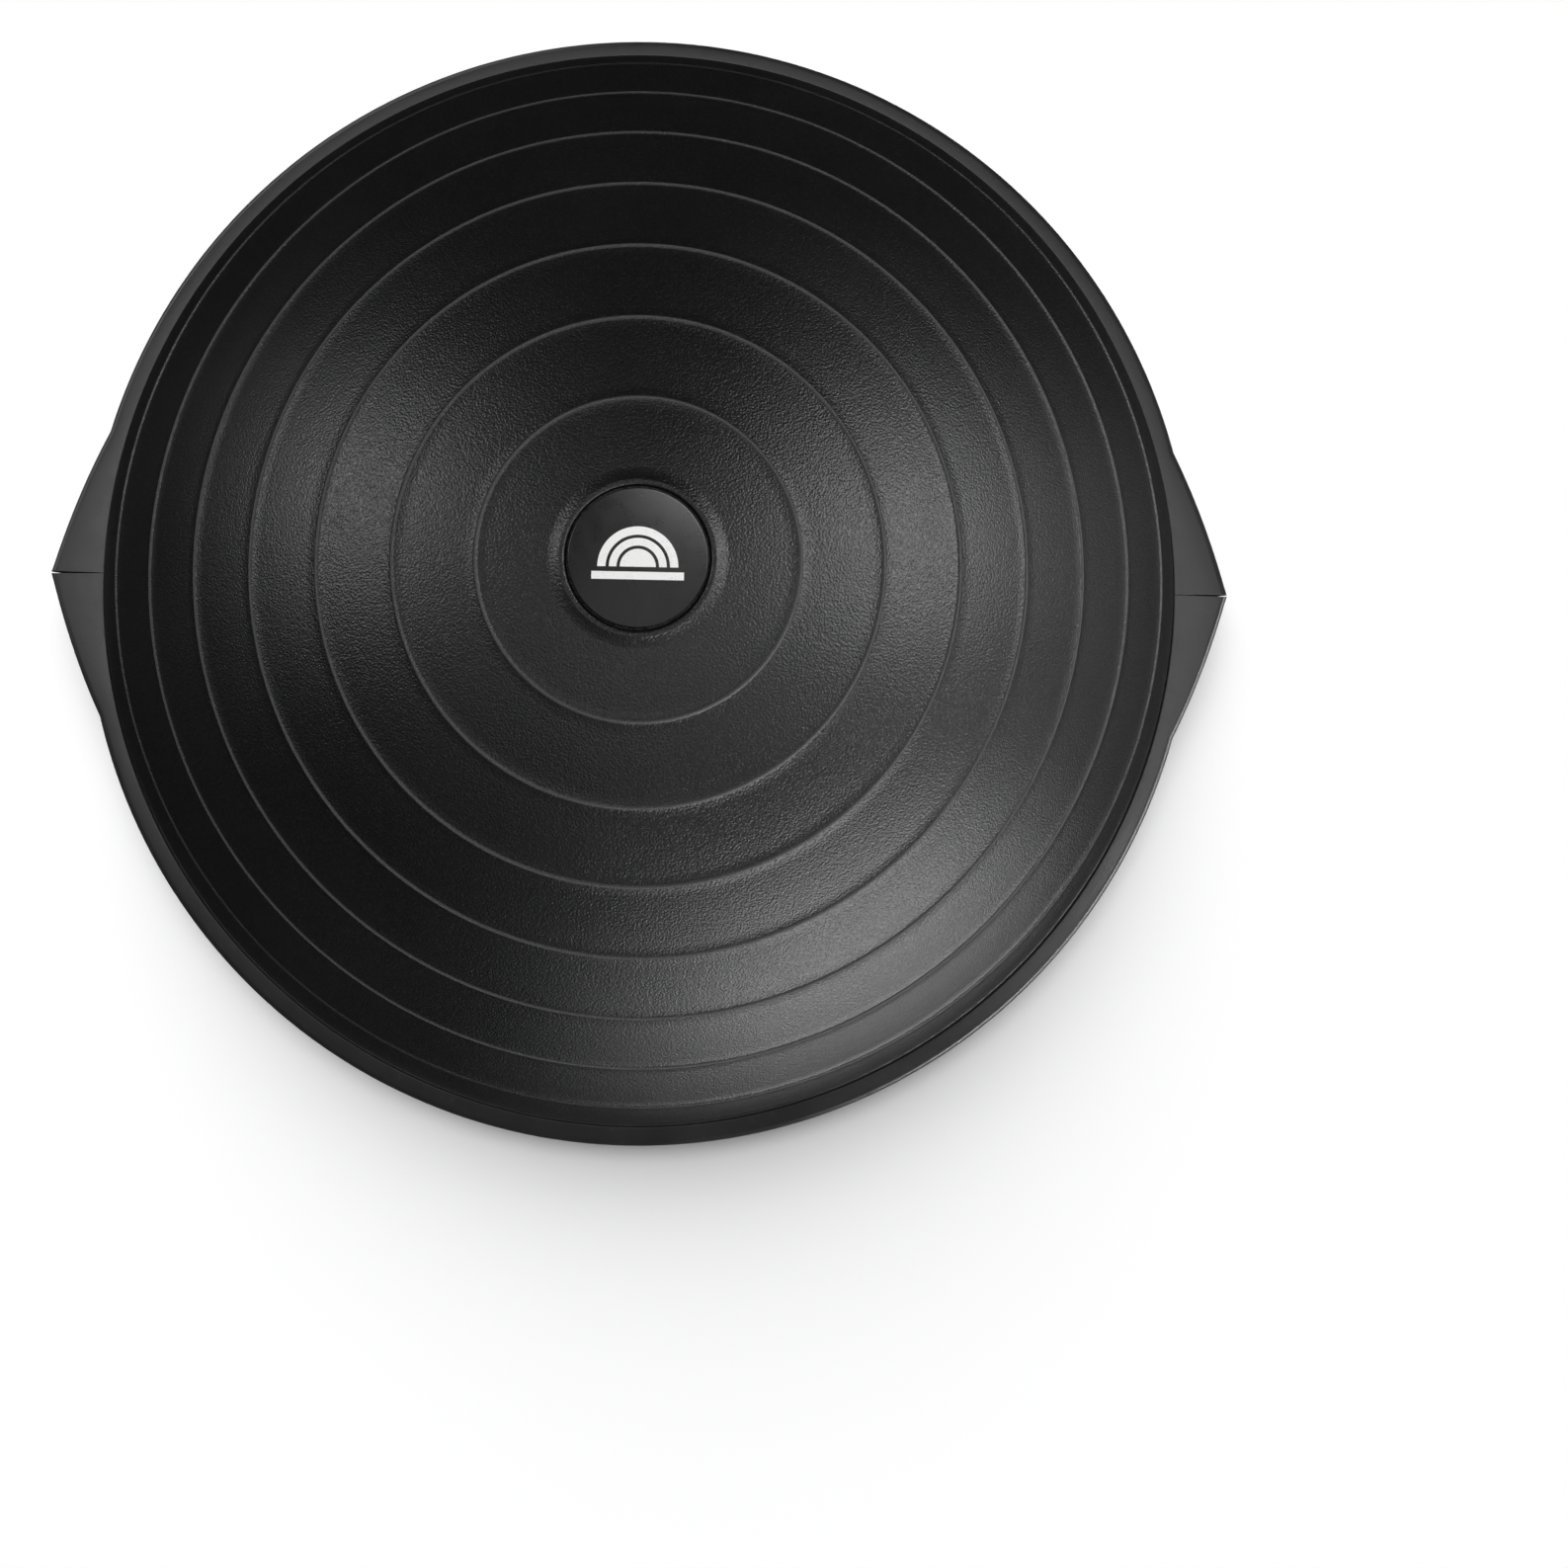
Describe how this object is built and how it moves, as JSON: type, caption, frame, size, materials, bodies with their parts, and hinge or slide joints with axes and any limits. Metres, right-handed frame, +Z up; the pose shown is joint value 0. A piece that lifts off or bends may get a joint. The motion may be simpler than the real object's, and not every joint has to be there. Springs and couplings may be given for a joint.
{
  "type": "balance dome trainer",
  "caption": "Inflated rubber dome on a rigid round platform, clamped by a two-piece rim with pointed, recessed grips at its sides.",
  "frame": {"origin": "centre of the footprint, on the floor", "axes": "+Z up through the crown; +X towards one pointed grip, where the two rim halves are bolted together"},
  "size_m": [0.6912, 0.65, 0.2096],
  "materials": {
    "dome_pvc": "matt black soft PVC with a fine grain",
    "badge": "smooth black, plain white pictogram",
    "platform_plastic": "moulded, fine texture",
    "mat_rubber": "matt, ringed tread",
    "rim_plastic": "satin dark grey",
    "zinc_steel": "zinc plated",
    "valve_rubber": "matt",
    "plug_plastic": "satin",
    "pad_rubber": "matt"
  },
  "bodies": {
    "base": {"platform": "platform_plastic", "deck_mat": "mat_rubber", "rim_half_back": "rim_plastic", "rim_half_front": "rim_plastic", "clamp_bolt_right": "zinc_steel", "clamp_bolt_left": "zinc_steel", "head_washer_right": "zinc_steel", "head_washer_left": "zinc_steel", "nut_washer_right": "zinc_steel", "nut_washer_left": "zinc_steel", "lock_nut_right": "zinc_steel", "lock_nut_left": "zinc_steel", "valve_seat": "valve_rubber", "foot_pad_1": "pad_rubber", "foot_pad_2": "pad_rubber", "foot_pad_3": "pad_rubber", "foot_pad_4": "pad_rubber", "foot_pad_5": "pad_rubber", "foot_pad_6": "pad_rubber", "foot_pad_7": "pad_rubber", "foot_pad_8": "pad_rubber"},
    "dome": {"dome_bladder": "dome_pvc", "crown_badge": "badge"},
    "plug": {"valve_plug": "plug_plastic"}
  },
  "joints": [
    {"name": "dome_press", "type": "slide", "parent": "base", "child": "dome", "axis": [0, 0, -1], "range_m": [0, 0.045], "stiffness_N_per_m": 12000, "springref_m": -0.004, "deforming": ["dome_bladder"]},
    {"name": "plug_pull", "type": "slide", "parent": "base", "child": "plug", "axis": [0, 0, -1], "range_m": [0, 0.012]}
  ]
}
